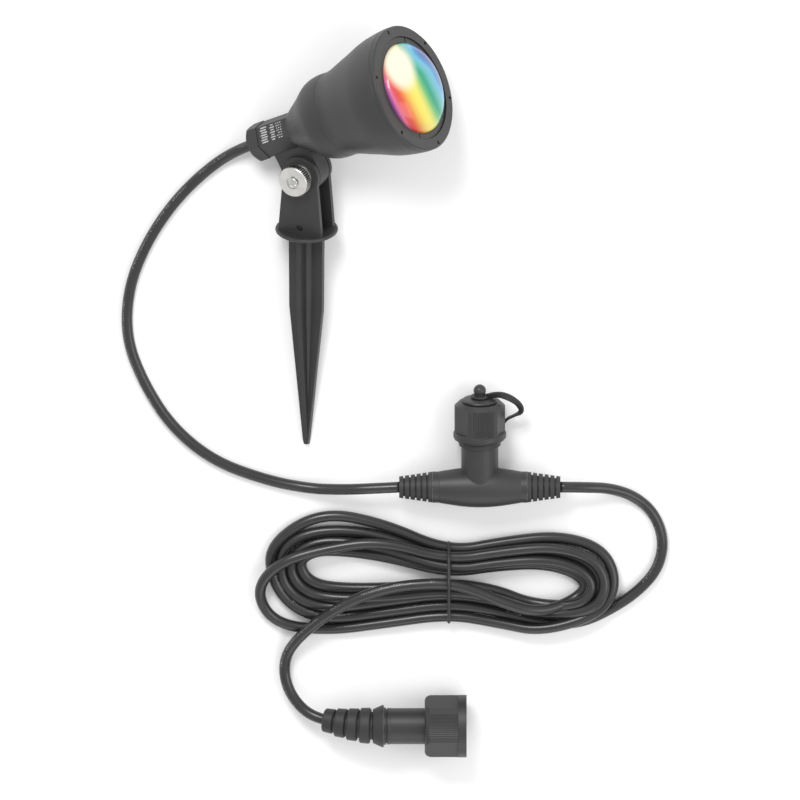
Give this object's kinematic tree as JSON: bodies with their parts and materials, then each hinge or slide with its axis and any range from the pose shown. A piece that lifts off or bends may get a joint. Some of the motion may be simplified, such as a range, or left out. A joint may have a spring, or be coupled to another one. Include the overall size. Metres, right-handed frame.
{
  "type": "garden spotlight on a stake",
  "caption": "Bell-shaped colour spotlight on a tilting yoke and ground stake, with a cable, an inline capped tee outlet, a tied hank and a screw plug.",
  "frame": {"origin": "middle of the lamp's own footprint (head, yoke and stake, without the cord) on the table it lies on", "axes": "+Z is the table's normal; +Y runs along the stake from its tip to the head; the lens faces +X, up and a little +Y"},
  "size_m": [0.3388, 0.4848, 0.1018],
  "materials": {
    "black_plastic": "satin moulded black, fine grain",
    "soft_black_rubber": "soft matte black",
    "cable_jacket": "smooth black jacket with soft highlights",
    "seal_rubber": "matte",
    "nickel": "bright nickel plate",
    "steel": "zinc plate",
    "nylon": "natural",
    "colour_lens": "domed, lit in soft colour bands",
    "reflector_film": "metallised",
    "heat_sink_aluminium": "extruded",
    "circuit_board": "solder mask",
    "component_plastic": "moulded",
    "connector_insert": "matte",
    "brass_contact": "plated",
    "wire_insulation": "coloured",
    "tie_wire": "coated wire"
  },
  "bodies": {
    "stand": {"stake": "black_plastic", "yoke": "black_plastic", "stake_lock_screw": "steel", "pivot_bolt": "steel", "friction_washers": "nylon", "flat_washer": "nickel", "cord_lead": "cable_jacket", "tee_body": "black_plastic", "tee_boot_out": "soft_black_rubber", "tee_boot_in": "soft_black_rubber", "outlet_insert": "connector_insert", "outlet_pins": "brass_contact", "outlet_seal": "seal_rubber", "cap_tether": "soft_black_rubber", "cord_feed": "cable_jacket", "cord_hank": "cable_jacket", "hank_tie": "tie_wire", "cord_tail": "cable_jacket", "plug_boot": "soft_black_rubber", "plug_body": "black_plastic", "plug_insert": "connector_insert", "plug_contacts": "brass_contact", "plug_seal": "seal_rubber"},
    "head": {"bezel_ring": "black_plastic", "lens_retainer": "black_plastic", "front_lens": "colour_lens", "lens_gasket": "seal_rubber", "bell_housing": "black_plastic", "reflector": "reflector_film", "led_board": "circuit_board", "led_chips": "component_plastic", "board_screws": "steel", "heat_sink": "heat_sink_aluminium", "housing_seal": "seal_rubber", "rear_housing": "black_plastic", "pivot_lug": "black_plastic", "driver_board": "circuit_board", "driver_parts": "component_plastic", "gland_nut": "black_plastic", "gland_grommet": "seal_rubber", "cord_entry": "cable_jacket", "core_wires": "wire_insulation"},
    "thumb_nut": {"thumb_nut": "nickel"},
    "dust_cap": {"cap_stopper": "black_plastic"},
    "cap_nut": {"cap_nut": "black_plastic"},
    "coupling_nut": {"coupling_nut": "black_plastic"}
  },
  "joints": [
    {"name": "head_tilt", "type": "hinge", "parent": "stand", "child": "head", "pos_m": [-0.02497, 0.04112, 0.02533], "axis": [-0.4337, -0.1129, 0.894], "range_deg": [-65, 50], "deforming": ["cord_lead"]},
    {"name": "thumb_nut_turn", "type": "hinge", "parent": "stand", "child": "thumb_nut", "pos_m": [-0.03234, 0.0392, 0.04053], "axis": [-0.4337, -0.1129, 0.894], "continuous": true},
    {"name": "cap_lift", "type": "slide", "parent": "stand", "child": "dust_cap", "axis": [0, 1, 0], "range_m": [0, 0.012], "deforming": ["cap_tether"]},
    {"name": "cap_turn", "type": "hinge", "parent": "dust_cap", "child": "cap_nut", "pos_m": [0.08235, -0.1254, 0.01645], "axis": [0, 1, 0], "range_deg": [0, 1080]},
    {"name": "coupling_turn", "type": "hinge", "parent": "stand", "child": "coupling_nut", "pos_m": [0.0608, -0.3217, 0.0196], "axis": [1, 0, 0], "continuous": true}
  ],
  "couplings": [
    {"joint": "cap_lift", "follows": "cap_turn", "m_per_rad": 0.000636}
  ]
}
